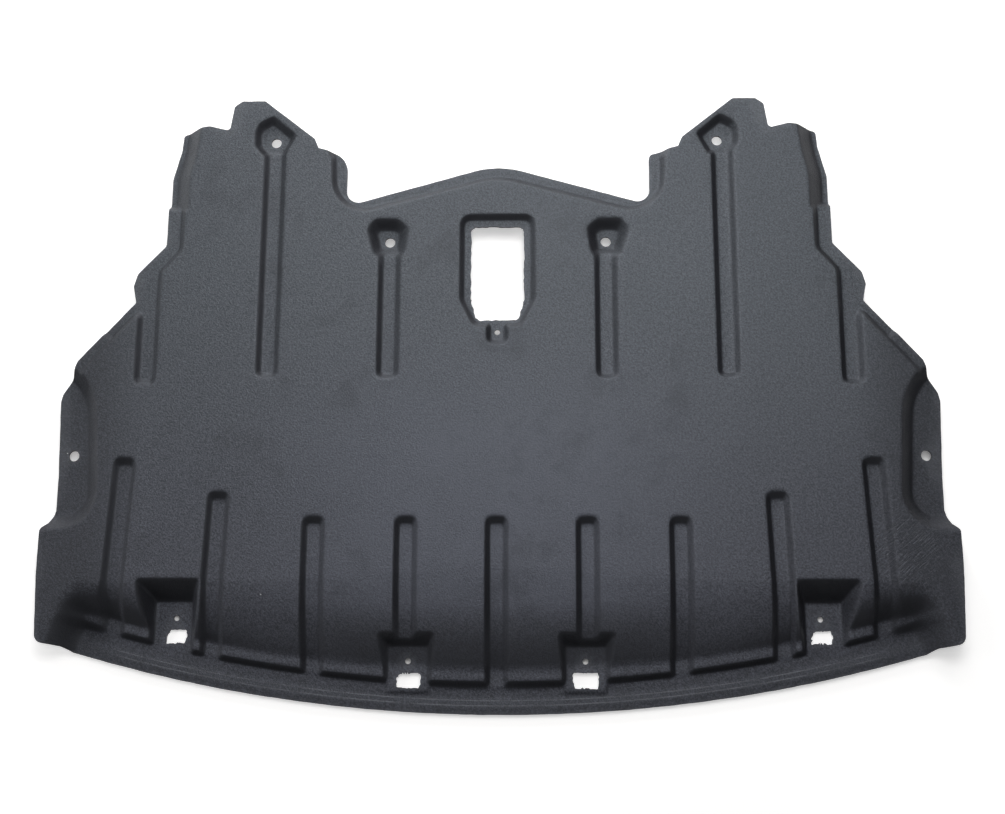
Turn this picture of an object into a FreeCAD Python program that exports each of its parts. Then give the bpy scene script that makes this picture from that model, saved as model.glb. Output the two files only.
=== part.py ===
import FreeCAD, Part
import math
import os
from FreeCAD import Vector

# Splash shield that closes the engine bay from below, vacuum formed from one plastic sheet.
# It lies with its road side up on its flanges, +Y towards the rear of the car.
# Lengths are in millimetres. A station is measured rearwards from the middle of the front edge,
# an offset sideways from the middle line, and the left half mirrors the right one.
# What belongs to the rear is placed by its distance from the rear edge, what belongs to
# the sides by its inset from the widest place, and the front end by its distance from the front edge.

# Overall size
sheet = 3.0
sheet_length = 656.5
half_width = 470.5

# Levels that the sheet is drawn down to, measured from the main panel
ledge_drop = 6.0
half_ledge_drop = 3.0
side_drop = 15.0
shelf_drop = 19.0
flange_drop = 26.0
groove_drop = 6.0
outer_pocket_drop = 8.0
inner_pocket_drop = 12.0

# Draft of the formed walls, measured from vertical in degrees
wall_draft = 32.0
groove_head_draft = 56.0
recess_draft = 25.0
clip_inner_draft = 22.0
clip_outer_draft = 30.0
clip_head_draft = 41.0
side_flange_draft = 43.0
rear_flange_draft = 49.0
step_draft = 30.0

# Front edge, and the wings beside it with their front corner cut back from the edge's arc
front_radius = 1590.0
wing_lead_inset = 26.0
wing_lead = 3.6
wing_taper = 3.2
wing_corner_radius = 9.0
wing_front = 138.0
wing_rear = 186.0
wing_step = 10.2
wing_run = 20.0
wing_radius = 6.0

# Side flange from the end of the wing to the diagonal edge, with its bolt hole and the line where
# its wall stands, both placed along it by their share of that length
side_bolt_inset = 25.0
side_bolt_share = 0.365
flange_foot_inset = 44.1
flange_foot_lean = 8.3
flange_lead = 4.0
flange_front_radius = 24.0
flange_bend_share = 0.77
flange_rear_radius = 60.0

# Ends of the diagonal edge and its ledge, each end by its inset and distance from the rear edge
diagonal_front = (26.0, 293.0)
diagonal_rear = (83.1, 228.5)
diagonal_ledge = 8.6
ledge_step_along = 45.0

# Outline of the side flange by inset, share of its length and corner radius
flange_edge = (
    (wing_step, 0.216, 0.0),
    (6.7, 0.73, 8.0),
    (8.5, 0.787, 8.0),
    (19.5, 0.895, 0.0),
    (diagonal_front[0], 1.0, 3.0),
)

# Outline of the shoulder by inset, distance from the rear edge and corner radius
shoulder_edge = (
    (*diagonal_rear, 3.0),
    (79.5, 210.0, 5.0),
    (83.1, 196.5, 8.0),
)

# Rear flange and the line where its wall stands
rear_flange_edge = 358.0
rear_flange_foot = 352.0
rear_flange_front = 117.5
rear_flange_line = (
    (340.0, 15.0, 0.0),
    (346.0, 58.5, 15.0),
    (rear_flange_foot, 84.5, 30.0),
    (rear_flange_foot, rear_flange_front, 0.0),
)

# Outline of rear flange and horn by offset, distance from the rear edge and corner radius
horn_edge = (
    (rear_flange_edge, 164.5, 6.0),
    (rear_flange_edge, 85.5, 0.0),
    (349.5, 50.5, 0.0),
    (348.5, 33.0, 5.0),
    (316.0, 29.0, 10.0),
    (294.0, 34.5, 4.0),
    (290.0, 6.5, 5.0),
    (281.0, 0.0, 5.0),
    (256.0, 0.0, 4.0),
    (200.0, 44.5, 0.0),
    (195.5, 55.0, 0.0),
)

# Notch beside the horn, its two ends cut alike but for their rounding, and the edge between the notches
notch_offset = 164.0
notch_mouth = 63.5
notch_depth = 120.3
notch_radius = 13.0
notch_mouth_radii = (6.0, 22.0)
middle_depth = 73.7
middle_radius = 95.0

# Narrow lip along the rear edge, its line round the notch by offset, distance and radius
lip_width = 12.6
lip_line = (
    (notch_offset + 10.5, notch_depth + lip_width, 33.0),
    (notch_offset + 13.0, 64.5, 6.0),
    (notch_offset + 26.0, 46.5, 0.0),
    (notch_offset - 14.0, 36.5, 0.0),
)

# Ledge along the shoulder, its inner line by distance from the rear edge
ledge_band = 15.4
ledge_turn = 169.5
ledge_turn_radius = 8.0
ledge_merge = 194.0
ledge_merge_radius = 14.0
ledge_apex_radius = 5.0

# Grooves, with the lower ones by offset, head station and lean outwards in degrees
groove_width = 15.0
groove_radius = 3.0
outer_groove_inset = 99.1
outer_groove_front = 315.0
long_groove_offset = 242.8
long_groove_front = 307.5
short_groove_offset = 115.5
short_groove_front = 308.5
lower_grooves = (
    (0.0, 191.0, 0.0),
    (93.0, 191.0, 0.0),
    (188.0, 191.0, 0.0),
    (287.0, 216.5, 1.9),
    (386.7, 252.0, 2.6),
)

# Slope, shelf, step and flange of the front end, by their distance from the front edge
slope_middle = 110.0
slope_end = 24.0
slope_end_offset = 430.0
slope_law = 1.5
slope_lead = 14.0
slope_lead_height = 0.5
shelf_back = 43.0
step_foot = 28.5
crease_places = (14.8, 9.8)
crease_height = 1.3
crease_run = 1.0
crease_fall = 0.6

# Ends of the front end, where it fades out into the level wings
fade_inset = 38.5
fade_width = 27.0
fade_floor = 0.02
span_steps = 3
fade_steps = 3

# Bolt and screw holes
bolt_hole = 11.0
screw_hole = 6.0
outer_bolts = (238.9, -243.8)
outer_bolt_rear = 46.0
inner_bolt = (116.5, 160.0)

# Pockets round the rear bolts: floor corners by distance outwards and rearwards of the bolt
outer_pocket_floor = (
    (17.0, 9.0),
    (14.0, 16.0),
    (3.5, 22.0),
    (-17.0, 4.5),
    (-8.0, -12.5),
    (9.5, -12.5),
    (16.5, -4.5),
)
inner_pocket_floor = (
    (15.0, 10.0),
    (11.5, 14.5),
    (-6.0, 14.5),
    (-12.0, 9.5),
    (-9.0, -10.0),
    (9.5, -10.0),
)

# Front clip pockets by their distance from the front edge, with the screw and the window in each
inner_clip = dict(offset=90.5, inward=21.0, outward=21.0, head=65.8, front=19.4, rise=2.0)
inner_clip.update(screw=50.7, window=31.4, width=27.4, depth=16.4)
outer_clip = dict(offset=330.5, inward=17.0, outward=22.0, head=78.2, front=24.0, rise=0.5)
outer_clip.update(screw=61.2, window=42.5, width=25.0, depth=14.6)

# Recess with a drain tab, and the access opening in it, by offset, distance from the rear edge and radius
recess_front = 253.0
recess_floor = (
    (8.0, recess_front + 19.2, 3.0),
    (8.0, recess_front, 0.0),
    (23.5, recess_front, 6.0),
    (36.7, 226.5, 10.0),
    (36.7, 136.2, 8.0),
)
access_edge = (
    (22.5, 249.7, 6.0),
    (28.9, 226.5, 8.0),
    (28.9, 144.0, 6.0),
)
drain_reach = 9.0

# Room that the forming solids take past the sheet and past each other
overlap = 5.0
clearance = 3.0
margin = 15.0
top = flange_drop + sheet

# Share of a side that the roundings at its two ends may take between them
rounding_share = 0.95


# Plane outlines

def turn(a, b):
    """Cross product of two plane directions."""
    return a[0] * b[1] - a[1] * b[0]


def plane_direction(a, b):
    """Unit vector from a to b."""
    length = math.hypot(b[0] - a[0], b[1] - a[1])
    return ((b[0] - a[0]) / length, (b[1] - a[1]) / length)


def shifted_joints(corners, ways, shifts):
    """Where the sides of an outline meet once each is moved outwards by its shift."""
    feet = []
    for corner, way, shift in zip(corners, ways, shifts):
        feet.append((corner[0] + shift * way[1], corner[1] - shift * way[0]))
    joints = []
    for i in range(len(corners)):
        before = ways[i - 1]
        gap = (feet[i][0] - feet[i - 1][0], feet[i][1] - feet[i - 1][1])
        reach = turn(gap, ways[i]) / turn(before, ways[i])
        joints.append((feet[i - 1][0] + reach * before[0], feet[i - 1][1] + reach * before[1]))
    return joints


def fitted(tangents, sides):
    """Tangent lengths of the roundings, shortened where the two on a side would meet."""
    count = len(tangents)
    fits = []
    for i in range(count):
        taken = tangents[i] + tangents[(i + 1) % count]
        room = rounding_share * sides[i]
        fits.append(room / taken if taken > room else 1.0)
    return [tangents[i] * min(fits[i - 1], fits[i]) for i in range(count)]


def ring(corners, shifts, z):
    """Closed wire at height z through rounded corners (x, y, radius), its sides moved outwards."""
    count = len(corners)
    ways = [plane_direction(corners[i], corners[(i + 1) % count]) for i in range(count)]
    joints = shifted_joints(corners, ways, shifts)
    sides = [math.dist(joints[i], joints[(i + 1) % count]) for i in range(count)]
    bends = []
    tangents = []
    for i in range(count):
        before = ways[i - 1]
        after = ways[i]
        side = 1.0 if turn(before, after) > 0.0 else -1.0
        radius = max(corners[i][2] + side * min(shifts[i - 1], shifts[i]), sheet / 6.0)
        bends.append(math.acos(before[0] * after[0] + before[1] * after[1]))
        tangents.append(radius * math.tan(bends[i] / 2.0) if corners[i][2] > 0.0 else 0.0)
    tangents = fitted(tangents, sides)
    ends = []
    for i in range(count):
        spot = Vector(joints[i][0], joints[i][1], z)
        if tangents[i] == 0.0:
            ends.append((spot, spot, spot))
            continue
        before = Vector(ways[i - 1][0], ways[i - 1][1], 0.0)
        after = Vector(ways[i][0], ways[i][1], 0.0)
        half = bends[i] / 2.0
        sagitta = tangents[i] / math.tan(half) * (1.0 / math.cos(half) - 1.0)
        middle = spot + (after - before).normalize() * sagitta
        ends.append((spot - before * tangents[i], middle, spot + after * tangents[i]))
    edges = []
    for i in range(count):
        start, middle, finish = ends[i]
        if start != finish:
            edges.append(Part.Arc(start, middle, finish).toShape())
        edges.append(Part.LineSegment(finish, ends[(i + 1) % count][0]).toShape())
    return Part.Wire(edges)


def prism(corners):
    """Upright solid over a rounded outline, through the whole height."""
    wire = ring(corners, [0.0] * len(corners), -margin)
    return Part.Face(wire).extrude(Vector(0.0, 0.0, top + 2.0 * margin))


def mirrored(solid):
    """The same feature on the left half."""
    return solid.mirror(Vector(0.0, 0.0, 0.0), Vector(1.0, 0.0, 0.0))


def with_left(corners):
    """A right-hand outline, from front to rear, closed with its mirror image."""
    return corners + [(-x, y, radius) for x, y, radius in reversed(corners)]


def rear(distance):
    """Station at a distance from the rear edge."""
    return sheet_length - distance


def from_rear(table):
    """Corners of a table whose rows give offset, distance from the rear edge and radius."""
    return [(offset, rear(distance), radius) for offset, distance, radius in table]


def from_side(table):
    """Corners of a table whose rows give inset, distance from the rear edge and radius."""
    return [(half_width - inset, rear(distance), radius) for inset, distance, radius in table]


def wing_end():
    """Station where the wing ends and the side flange starts."""
    return wing_rear + wing_run


def flange_station(share):
    """Station at a share of the way from the end of the wing to the diagonal edge."""
    return wing_end() + share * (rear(diagonal_front[1]) - wing_end())


def station(offset, distance):
    """Station at an offset of the arc that runs at a distance behind the front edge."""
    return front_radius - math.sqrt((front_radius - distance) ** 2 - offset ** 2)


# Forming solids: the room above a drawn-down floor, and pads that stand in it

def spread(skin, draft):
    """How far a drafted wall's foot moves outwards when the surface is offset by the skin."""
    slope = math.radians(draft)
    return skin * (1.0 - math.sin(slope)) / math.cos(slope)


def cavity(corners, drop, drafts, skin):
    """Room above a floor, walls drafted side by side; skin is how far its surface is offset."""
    if isinstance(drafts, float):
        drafts = [drafts] * len(corners)
    floor = top - drop - skin
    roof = top + clearance
    low = [spread(skin, draft) for draft in drafts]
    high = [foot + (roof - floor) * math.tan(math.radians(draft)) for foot, draft in zip(low, drafts)]
    return Part.makeLoft([ring(corners, low, floor), ring(corners, high, roof)], True, True)


def pad(corners, drop, draft, skin):
    """Low raised pad with drafted sides."""
    roof = top - drop - skin
    floor = roof - margin
    inset = -spread(skin, draft)
    foot = inset + (roof - floor) * math.tan(math.radians(draft))
    low = ring(corners, [foot] * len(corners), floor)
    high = ring(corners, [inset] * len(corners), roof)
    return Part.makeLoft([low, high], True, True)


# Front end: a slope lofted across the width, over a shelf, step and creased flange turned
# round the centre of the front edge, and at each side a loft that fades all of it out

def fade(offset):
    """One along the front, falling smoothly to just below nought where the wings stay level."""
    share = (abs(offset) - half_width + fade_inset) / fade_width
    share = min(max(share, 0.0), 1.0)
    return 1.0 - (1.0 + fade_floor) * share ** 2 * (3.0 - 2.0 * share)


def slope_run(offset):
    """Length of the slope at a sideways offset, longest in the middle."""
    share = min(abs(offset) / slope_end_offset, 1.0)
    return slope_middle - (slope_middle - slope_end) * share ** slope_law


def slope_arc(offset, past, skin):
    """Start, middle and end of the arc down the slope, run on to a depth past the shelf."""
    run = slope_run(offset) + slope_lead
    fall = shelf_drop * fade(offset) + slope_lead_height
    arc = (run ** 2 + fall ** 2) / (2.0 * fall) - skin
    bend = math.acos(1.0 - (fall + past) / arc)
    points = []
    for angle in (0.0, bend / 2.0, bend):
        distance = shelf_back + run - arc * math.sin(angle)
        points.append((distance, slope_lead_height - skin - arc * (1.0 - math.cos(angle))))
    return points


def shelf_line(back, level):
    """Shelf, step and creased flange from a distance back to past the front edge, as depth scaled."""
    step_run = (flange_drop - shelf_drop) * math.tan(math.radians(step_draft))
    points = [(back, -shelf_drop), (step_foot + step_run, -shelf_drop), (step_foot, -flange_drop)]
    height = -flange_drop
    for place in crease_places:
        points.append((place + crease_run / 2.0, height))
        height = height + crease_height
        points.append((place - crease_run / 2.0, height))
        height = height - crease_fall
    points.append((-margin, height))
    return [(distance, depth * level) for distance, depth in points]


def lowered(points, skin):
    """The same line moved down by the skin, square to each of its runs."""
    normals = []
    for i in range(len(points) - 1):
        way = plane_direction(points[i], points[i + 1])
        normals.append((-way[1], way[0]))
    moved = [(points[0][0], points[0][1] - skin)]
    for i in range(1, len(points) - 1):
        a = normals[i - 1]
        b = normals[i]
        scale = skin / (1.0 + a[0] * b[0] + a[1] * b[1])
        moved.append((points[i][0] + scale * (a[0] + b[0]), points[i][1] + scale * (a[1] + b[1])))
    moved.append((points[-1][0] + skin * normals[-1][0], points[-1][1] + skin * normals[-1][1]))
    return moved


def square_to_edge(offset, points):
    """Points by distance from the front edge and height, in the plane square to the edge at an offset."""
    spots = []
    for distance, height in points:
        x = offset * (1.0 - distance / front_radius)
        spots.append(Vector(x, station(x, distance), top + height))
    return spots


def closed_section(spots, curved):
    """Closed wire over spots and back at roof height; where curved, the first three lie on an arc."""
    roof = top + 2.0 * clearance + groove_drop
    spots = spots + [Vector(spots[-1].x, spots[-1].y, roof), Vector(spots[0].x, spots[0].y, roof)]
    edges = []
    first = 0
    if curved:
        edges.append(Part.Arc(spots[0], spots[1], spots[2]).toShape())
        first = 2
    for i in range(first, len(spots)):
        edges.append(Part.LineSegment(spots[i], spots[(i + 1) % len(spots)]).toShape())
    return Part.Wire(edges)


def slope_room(offsets, skin):
    """Room above the slope, open below the shelf's level in front of the slope."""
    wires = []
    for offset in offsets:
        points = slope_arc(offset, 2.0 * sheet, skin)
        deep = -flange_drop - margin
        points += [(points[-1][0], deep), (-margin - clearance, deep)]
        wires.append(closed_section(square_to_edge(offset, points), True))
    return Part.makeLoft(wires, True, False)


def shelf_room(offset, skin):
    """Room above shelf, step and flange, turned from an offset on the left to the same on the right."""
    back = shelf_back + slope_middle + slope_lead + margin
    spots = square_to_edge(0.0, lowered(shelf_line(back, 1.0), skin))
    face = Part.Face(closed_section(spots, False))
    centre = Vector(0.0, front_radius, 0.0)
    reach = math.degrees(math.asin(offset / front_radius))
    face.rotate(centre, Vector(0.0, 0.0, 1.0), -reach)
    return face.revolve(centre, Vector(0.0, 0.0, 1.0), 2.0 * reach)


def fading_room(offsets, skin):
    """Room above the end of the front, where slope, shelf and step fade out."""
    wires = []
    for offset in offsets:
        points = slope_arc(offset, 0.0, skin) + lowered(shelf_line(shelf_back, fade(offset)), skin)[1:]
        wires.append(closed_section(square_to_edge(offset, points), True))
    return Part.makeLoft(wires, True, True)


def front_rooms(skin):
    """Rooms of the front end: the middle one between two that fade out."""
    limit = half_width - fade_inset
    middle = slope_room([limit * i / span_steps for i in range(-span_steps, span_steps + 1)], skin)
    offsets = [limit + fade_width * i / fade_steps for i in range(fade_steps + 1)]
    end = fading_room(offsets + [half_width + margin], skin)
    return [middle.common(shelf_room(limit, skin)), end, mirrored(end)]


# Grooves

def flat_groove(offset, front, back, radii, head_draft, skin):
    """Straight groove in the main panel, its floor between two stations; radii of front and rear."""
    half = groove_width / 2.0
    corners = [
        (offset + half, back, radii[1]),
        (offset - half, back, radii[1]),
        (offset - half, front, radii[0]),
        (offset + half, front, radii[0]),
    ]
    return cavity(corners, groove_drop, [head_draft, wall_draft, wall_draft, wall_draft], skin)


def upper_groove(offset, front, back, skin):
    """Groove of the rear half, from its rounded front end into a bolt's pocket."""
    return flat_groove(offset, rear(front), rear(back), (groove_radius, 0.0), wall_draft, skin)


def slope_groove(offset, drift, skin):
    """The groove's run down the slope, over the shelf and out over the step."""
    foot = groove_width / 2.0 + spread(skin, wall_draft)
    rim = foot + 2.0 * groove_drop * math.tan(math.radians(wall_draft))
    wires = []
    for side, lift in ((-rim, groove_drop), (-foot, -groove_drop), (foot, -groove_drop), (rim, groove_drop)):
        place = offset + side + drift
        points = slope_arc(place * (1.0 + shelf_back / front_radius), 0.0, skin)
        points.append((step_foot - clearance, points[-1][1]))
        x = offset + side
        spots = [Vector(x, station(place, distance), top + height + lift) for distance, height in points]
        wires.append(closed_section(spots, True))
    return Part.makeLoft(wires, True, True)


def lower_groove(offset, head, lean, skin):
    """One groove of the front half, leaning outwards as it runs down to the front."""
    start = station(offset, shelf_back + slope_run(offset))
    drift = (head - shelf_back) * math.tan(math.radians(lean))
    slope = slope_groove(offset, drift, skin)
    if abs(offset - inner_clip["offset"]) < groove_width:
        end = station(inner_clip["offset"], 0.0) + inner_clip["head"] + clearance
        ahead = Part.makeBox(4.0 * groove_width, end + 2.0 * margin, 2.0 * top + 2.0 * margin)
        ahead.translate(Vector(offset - 2.0 * groove_width, -2.0 * margin, -margin))
        slope = slope.cut(ahead)
    radii = (0.0, groove_radius)
    parts = [flat_groove(offset, start - slope_lead, head, radii, groove_head_draft, skin), slope]
    for solid in parts:
        solid.rotate(Vector(offset, head, 0.0), Vector(0.0, 0.0, 1.0), lean)
    return parts


# Edges that are drawn down: rear lip, ledge with the outer groove, rear flange and side flange

def diagonal_spot(along, out):
    """Spot beside the diagonal edge: distance along it from its rear end, distance out from it."""
    start = (half_width - diagonal_rear[0], rear(diagonal_rear[1]))
    finish = (half_width - diagonal_front[0], rear(diagonal_front[1]))
    way = plane_direction(start, finish)
    return (start[0] + along * way[0] - out * way[1], start[1] + along * way[1] + out * way[0])


def rear_lip(skin):
    """Narrow lip along the rear edge, round the notches and out at the horns."""
    right = from_rear(lip_line)
    middle = (0.0, rear(middle_depth + lip_width), middle_radius - lip_width)
    left = [(-x, y, radius) for x, y, radius in reversed(right)]
    return cavity([middle] + right + left, ledge_drop, wall_draft, skin)


def side_ledge(skin):
    """Ledge along the shoulder and the diagonal edge, with the outer groove that leads into it."""
    groove = half_width - outer_groove_inset
    inner = groove - groove_width / 2.0
    outer = groove + groove_width / 2.0
    band = rear_flange_edge - ledge_band
    corner = diagonal_spot(0.0, -diagonal_ledge)
    step = diagonal_spot(ledge_step_along, -diagonal_ledge)
    way = plane_direction(corner, step)
    apex = corner[1] - (corner[0] - outer) * way[1] / way[0]
    beyond = diagonal_spot(ledge_step_along, margin)
    shoulder = from_side(shoulder_edge)[-1]
    corners = [
        (band, rear(rear_flange_front) + overlap, 0.0),
        (band, rear(ledge_turn), ledge_turn_radius),
        (inner, rear(ledge_merge), ledge_merge_radius),
        (inner, rear(outer_groove_front), groove_radius),
        (outer, rear(outer_groove_front), groove_radius),
        (outer, apex, ledge_apex_radius),
        (step[0], step[1], 0.0),
        (beyond[0], beyond[1], 0.0),
        (shoulder[0] + 2.0 * margin, shoulder[1], 0.0),
        (rear_flange_edge + margin, rear(rear_flange_front) + overlap, 0.0),
    ]
    return cavity(corners, ledge_drop, wall_draft, skin)


def half_ledge(skin):
    """Shallower ledge on the front part of the diagonal edge."""
    length = math.hypot(diagonal_rear[0] - diagonal_front[0], diagonal_front[1] - diagonal_rear[1])
    inset = -diagonal_ledge - (ledge_drop - half_ledge_drop) * math.tan(math.radians(wall_draft))
    ends = (ledge_step_along - overlap, length + 2.0 * overlap)
    spots = [(ends[0], inset), (ends[1], inset), (ends[1], margin), (ends[0], margin)]
    corners = [diagonal_spot(along, out) + (0.0,) for along, out in spots]
    return cavity(corners, half_ledge_drop, wall_draft, skin)


def rear_flange(skin):
    """Drawn-down flange at the rear corner."""
    outside = rear_flange_edge + margin
    corners = from_rear(rear_flange_line)
    corners += [(outside, rear(rear_flange_front), 0.0), (outside, corners[0][1], 0.0)]
    inner = rear_flange_draft
    return cavity(corners, side_drop, [inner, inner, inner, step_draft, wall_draft, wall_draft], skin)


def side_flange(skin):
    """Drawn-down flange on each side with the bolt hole."""
    foot = half_width - flange_foot_inset
    bend = foot + flange_foot_lean
    outside = half_width + margin
    front = wing_end() - flange_lead
    corners = [
        (outside, rear(diagonal_front[1]), 0.0),
        (half_width, rear(diagonal_front[1]), 0.0),
        (bend, flange_station(flange_bend_share), flange_rear_radius),
        (foot, front, flange_front_radius),
        (outside, front - overlap, 0.0),
    ]
    return cavity(corners, side_drop, side_flange_draft, skin)


# Recess, pockets and pads

def recess(skin):
    """Recess round the access opening, with the tab that drains it."""
    return cavity(with_left(from_rear(recess_floor)), ledge_drop, recess_draft, skin)


def bolt_pocket(x, distance, floor, drop, skin):
    """Pocket round a rear bolt at a signed offset and a distance from the rear edge."""
    side = math.copysign(1.0, x)
    corners = [(x + side * outwards, rear(distance) + back, 0.0) for outwards, back in floor]
    if side < 0.0:
        corners.reverse()
    return cavity(corners, drop, wall_draft, skin)


def clip_corners(clip):
    """Floor of a front clip pocket, from its head in the slope to its front end."""
    edge = station(clip["offset"], 0.0)
    inner = clip["offset"] - clip["inward"]
    outer = clip["offset"] + clip["outward"]
    return [
        (outer, edge + clip["head"], 0.0),
        (inner, edge + clip["head"], 0.0),
        (inner, edge + clip["front"], 0.0),
        (outer, edge + clip["front"], 0.0),
    ]


def clip_pocket(clip, skin):
    """Pocket cut into slope, shelf and step down to the clip's pad."""
    drafts = [clip_head_draft, clip_inner_draft, clip_inner_draft, clip_outer_draft]
    return cavity(clip_corners(clip), flange_drop - clip["rise"], drafts, skin)


def clip_pad(skin):
    """Raised pad that carries the inner clip pocket's floor out over the flange."""
    return pad(clip_corners(inner_clip), flange_drop - inner_clip["rise"], clip_inner_draft, skin)


def clip_holes(clip):
    """Screw hole and window of a front clip."""
    edge = station(clip["offset"], 0.0)
    half = clip["width"] / 2.0
    front = edge + clip["window"] - clip["depth"] / 2.0
    back = front + clip["depth"]
    corners = [
        (clip["offset"] - half, front, 0.0),
        (clip["offset"] + half, front, 0.0),
        (clip["offset"] + half, back, 0.0),
        (clip["offset"] - half, back, 0.0),
    ]
    return [hole((clip["offset"], edge + clip["screw"]), screw_hole), prism(corners)]


# Sheet, trimmed to its outline and pierced

def outline_half(mouth_radius):
    """Corners of the right half of the outline, from front to rear."""
    lead = half_width - wing_lead_inset
    start = lead - wing_step
    corner = half_width - wing_taper
    inside = half_width - wing_step
    wing = [
        (start, -margin, 0.0),
        (start, station(start, 0.0), 0.0),
        (lead, station(lead, 0.0) + wing_lead, 0.0),
        (corner, station(corner, 0.0) + wing_lead / 2.0, wing_corner_radius),
        (half_width, wing_front, 0.0),
        (half_width, wing_rear, wing_radius),
        (half_width - wing_radius, wing_rear + wing_radius, 0.0),
        (inside, wing_end(), wing_radius),
    ]
    flange = [(half_width - inset, flange_station(share), radius) for inset, share, radius in flange_edge]
    notch = [
        (notch_offset, rear(notch_mouth), mouth_radius),
        (notch_offset, rear(notch_depth), notch_radius),
    ]
    return wing + flange + from_side(shoulder_edge) + from_rear(horn_edge) + notch


def blank():
    """Upright solid over the trimmed outline."""
    right = outline_half(notch_mouth_radii[0])
    left = [(-x, y, radius) for x, y, radius in reversed(outline_half(notch_mouth_radii[1]))]
    corners = right + [(0.0, rear(middle_depth), middle_radius)] + left
    front = Part.makeCylinder(front_radius, top + 2.0 * margin, Vector(0.0, front_radius, -margin))
    return prism(corners).common(front)


def hole(spot, diameter):
    """Round hole through the whole height."""
    return Part.makeCylinder(diameter / 2.0, top + 2.0 * margin, Vector(spot[0], spot[1], -margin))


def under_skin(skin):
    """Everything below one face of the sheet: the road side at skin 0, the other at the sheet."""
    low = -margin - skin
    base = Part.makeBox(2.0 * half_width + 2.0 * margin, sheet_length + 2.0 * margin, top - skin - low)
    base.translate(Vector(-half_width - margin, -margin, low))
    right = [
        side_ledge(skin),
        half_ledge(skin),
        rear_flange(skin),
        side_flange(skin),
        clip_pocket(inner_clip, skin),
        clip_pocket(outer_clip, skin),
        upper_groove(long_groove_offset, long_groove_front, outer_bolt_rear, skin),
        upper_groove(short_groove_offset, short_groove_front, inner_bolt[1], skin),
        bolt_pocket(inner_bolt[0], inner_bolt[1], inner_pocket_floor, inner_pocket_drop, skin),
    ]
    for offset, head, lean in lower_grooves[1:]:
        right += lower_groove(offset, head, lean, skin)
    rooms = lower_groove(*lower_grooves[0], skin) + [rear_lip(skin), recess(skin)]
    for x in outer_bolts:
        rooms.append(bolt_pocket(x, outer_bolt_rear, outer_pocket_floor, outer_pocket_drop, skin))
    rooms += right + [mirrored(solid) for solid in right]
    raised = clip_pad(skin)
    body = base.cut(front_rooms(skin)).fuse([raised, mirrored(raised)])
    return body.cut(rooms)


def openings():
    """Holes, windows and the access opening that are cut through the formed sheet."""
    cuts = clip_holes(inner_clip) + clip_holes(outer_clip)
    cuts.append(hole((inner_bolt[0], rear(inner_bolt[1])), bolt_hole))
    cuts.append(hole((half_width - side_bolt_inset, flange_station(side_bolt_share)), bolt_hole))
    cuts += [mirrored(solid) for solid in cuts]
    cuts += [hole((x, rear(outer_bolt_rear)), bolt_hole) for x in outer_bolts]
    cuts.append(prism(with_left(from_rear(access_edge))))
    cuts.append(hole((0.0, rear(recess_front) - drain_reach), screw_hole))
    return cuts


formed = under_skin(0.0).cut(under_skin(sheet))
shield = formed.common(blank()).cut(openings())
shield.translate(Vector(0.0, -sheet_length / 2.0, 0.0))
os.makedirs("parts", exist_ok=True)
shield.exportStep("parts/splash_shield.step")
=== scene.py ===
import math

import bpy
import numpy as np
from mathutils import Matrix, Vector
from mathutils.bvhtree import BVHTree
from mathutils.geometry import delaunay_2d_cdt
from mathutils.kdtree import KDTree


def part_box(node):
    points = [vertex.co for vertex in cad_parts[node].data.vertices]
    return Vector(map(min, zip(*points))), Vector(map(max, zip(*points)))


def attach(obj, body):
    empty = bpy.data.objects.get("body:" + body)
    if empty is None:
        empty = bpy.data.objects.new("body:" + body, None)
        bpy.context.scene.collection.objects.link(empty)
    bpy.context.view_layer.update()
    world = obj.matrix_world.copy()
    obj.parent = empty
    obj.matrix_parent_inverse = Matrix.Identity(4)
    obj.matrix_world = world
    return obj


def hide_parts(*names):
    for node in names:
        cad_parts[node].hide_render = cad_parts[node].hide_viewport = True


# Looks of the splash shield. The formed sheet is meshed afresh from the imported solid: both of its faces
# are measured on a fine grid, softened as hot forming softens them, and joined at the cut edges.
# Lengths are in metres and angles in radians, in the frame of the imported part.

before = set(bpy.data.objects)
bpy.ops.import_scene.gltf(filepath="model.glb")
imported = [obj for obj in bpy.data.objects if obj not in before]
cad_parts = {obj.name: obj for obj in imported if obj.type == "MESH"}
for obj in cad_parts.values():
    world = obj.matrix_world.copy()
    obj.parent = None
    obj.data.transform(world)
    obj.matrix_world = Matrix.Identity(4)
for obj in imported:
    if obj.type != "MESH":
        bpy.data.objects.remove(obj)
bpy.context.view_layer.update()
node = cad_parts["splash_shield"]
low, high = (np.array(corner, float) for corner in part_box("splash_shield"))

# Least divisor, which keeps a division by nought away
TINY = 1e-9

# Measuring grid, and how far it reaches past the sheet
CELL = 0.001
BORDER = 0.012

# How soft the creases are on the road side and on the mould side. A grid cell counts as known when it
# has this share of sheet round it, and what is known is carried outwards by so many times the softness
ROAD_SOFTNESS = 0.0016
MOULD_SOFTNESS = 0.0010
KNOWN_SHARE = 1e-3
CARRY = 4.0
BELL_REACH = 3.0

# Rounder zones: the corners where the slope fades into the wings, and the inner bolt pockets
CORNER_SOFTNESS = 0.0036
CORNER_ACROSS = (0.375, 0.410)
CORNER_ALONG = (-0.185, -0.215)
POCKET_PLACE = (0.1165, 0.168)
POCKET_REACH = (0.034, 0.024)
POCKET_SHARE = 0.6

# Spacing of the mesh points, coarsest level first, and the error that each face may make.
# Points are shifted at random by this share of their spacing, and keep clear of the cut edges
COARSE = 0.012
LEVELS = 4
ROAD_ERROR = 0.000085
MOULD_ERROR = 0.00036
LEAST_BEND = 1e-6
JITTER = 0.12
JITTER_SEED = 5
EDGE_SPACING = 0.003
EDGE_CLEARANCE = 0.55
EDGE_STEPS = 4
SHORTEST_GAP = 0.1
MERGED = 1e-9

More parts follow.
